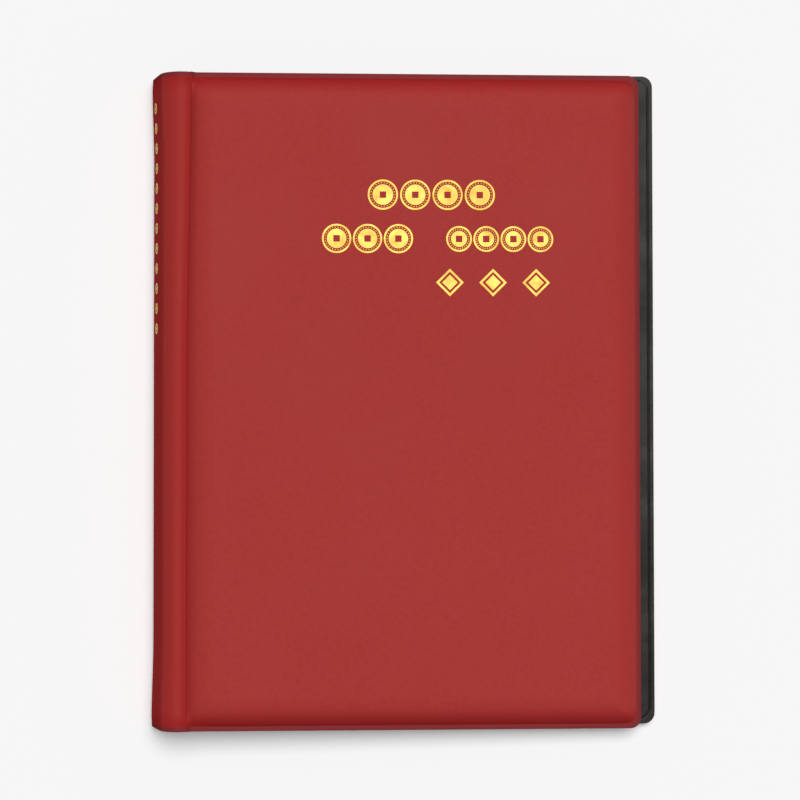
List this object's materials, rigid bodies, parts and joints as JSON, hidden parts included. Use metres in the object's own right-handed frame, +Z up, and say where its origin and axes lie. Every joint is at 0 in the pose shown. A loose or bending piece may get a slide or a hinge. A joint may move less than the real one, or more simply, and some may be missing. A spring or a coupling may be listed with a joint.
{
  "type": "coin album",
  "caption": "Padded leatherette pocket album for coins, with a rounded spine, stapled black leaves and clear flap-top pockets, closed and lying flat.",
  "frame": {"origin": "middle of the closed album in plan, on the surface that the back cover rests on", "axes": "+X from the spine to the fore edge, +Y from the foot to the head of the page, +Z up through the front cover"},
  "size_m": [0.135, 0.175, 0.0171],
  "materials": {
    "leatherette": "soft PVC leatherette with a fine grain, dark red, low sheen",
    "black_lining": "glossy black vinyl sheet",
    "black_sheet": "thin black PVC sheet, half gloss",
    "clear_film": "clear soft PVC film with welded borders",
    "greyboard": "raw grey bookbinding board",
    "foam": "thin white foam sheet",
    "spacer_card": "black card strips",
    "staple_wire": "galvanised staple wire",
    "gold_foil": "bright gold stamping foil"
  },
  "bodies": {
    "back_cover": {"back_cover_skin": "leatherette", "back_foam_pad": "foam", "back_board": "greyboard", "back_lining": "black_lining", "back_hinge_web": "leatherette", "spine_skin": "leatherette", "spine_lining": "black_lining", "spine_board": "greyboard", "spine_foil": "gold_foil", "binding_spacers": "spacer_card", "leaf_margins": "black_sheet", "binding_staples": "staple_wire", "front_hinge_web": "leatherette", "leaf_1_hinge_web": "black_sheet", "leaf_2_hinge_web": "black_sheet", "leaf_3_hinge_web": "black_sheet", "leaf_4_hinge_web": "black_sheet", "leaf_5_hinge_web": "black_sheet"},
    "front_cover": {"front_cover_skin": "leatherette", "front_foam_pad": "foam", "front_board": "greyboard", "front_lining": "black_lining", "title_foil": "gold_foil"},
    "leaf_1": {"leaf_1_core": "black_sheet", "leaf_1_front_pockets": "clear_film", "leaf_1_back_pockets": "clear_film", "leaf_1_front_flaps": "clear_film", "leaf_1_back_flaps": "clear_film"},
    "leaf_2": {"leaf_2_core": "black_sheet", "leaf_2_front_pockets": "clear_film", "leaf_2_back_pockets": "clear_film", "leaf_2_front_flaps": "clear_film", "leaf_2_back_flaps": "clear_film"},
    "leaf_3": {"leaf_3_core": "black_sheet", "leaf_3_front_pockets": "clear_film", "leaf_3_back_pockets": "clear_film", "leaf_3_front_flaps": "clear_film", "leaf_3_back_flaps": "clear_film"},
    "leaf_4": {"leaf_4_core": "black_sheet", "leaf_4_front_pockets": "clear_film", "leaf_4_back_pockets": "clear_film", "leaf_4_front_flaps": "clear_film", "leaf_4_back_flaps": "clear_film"},
    "leaf_5": {"leaf_5_core": "black_sheet", "leaf_5_front_pockets": "clear_film", "leaf_5_back_pockets": "clear_film", "leaf_5_front_flaps": "clear_film", "leaf_5_back_flaps": "clear_film"}
  },
  "joints": [
    {"name": "cover_hinge", "type": "hinge", "parent": "back_cover", "child": "front_cover", "pos_m": [-0.05707, 0, 0.0175], "axis": [0, -1, 0], "range_deg": [0, 179], "deforming": ["front_hinge_web"]},
    {"name": "leaf_1_hinge", "type": "hinge", "parent": "back_cover", "child": "leaf_1", "pos_m": [-0.05707, 0, 0.0175], "axis": [0, -1, 0], "range_deg": [0, 164.05], "deforming": ["leaf_1_hinge_web"]},
    {"name": "leaf_2_hinge", "type": "hinge", "parent": "back_cover", "child": "leaf_2", "pos_m": [-0.05707, 0, 0.0175], "axis": [0, -1, 0], "range_deg": [0, 136.71], "deforming": ["leaf_2_hinge_web"]},
    {"name": "leaf_3_hinge", "type": "hinge", "parent": "back_cover", "child": "leaf_3", "pos_m": [-0.05707, 0, 0.0175], "axis": [0, -1, 0], "range_deg": [0, 105.46], "deforming": ["leaf_3_hinge_web"]},
    {"name": "leaf_4_hinge", "type": "hinge", "parent": "back_cover", "child": "leaf_4", "pos_m": [-0.05707, 0, 0.0175], "axis": [0, -1, 0], "range_deg": [0, 72.26], "deforming": ["leaf_4_hinge_web"]},
    {"name": "leaf_5_hinge", "type": "hinge", "parent": "back_cover", "child": "leaf_5", "pos_m": [-0.05707, 0, 0.0175], "axis": [0, -1, 0], "range_deg": [0, 37.11], "deforming": ["leaf_5_hinge_web"]}
  ],
  "couplings": [
    {"joint": "leaf_1_hinge", "follows": "cover_hinge", "ratio": 0.91651},
    {"joint": "leaf_2_hinge", "follows": "cover_hinge", "ratio": 0.76376},
    {"joint": "leaf_3_hinge", "follows": "cover_hinge", "ratio": 0.58918},
    {"joint": "leaf_4_hinge", "follows": "cover_hinge", "ratio": 0.4037},
    {"joint": "leaf_5_hinge", "follows": "cover_hinge", "ratio": 0.2073}
  ]
}
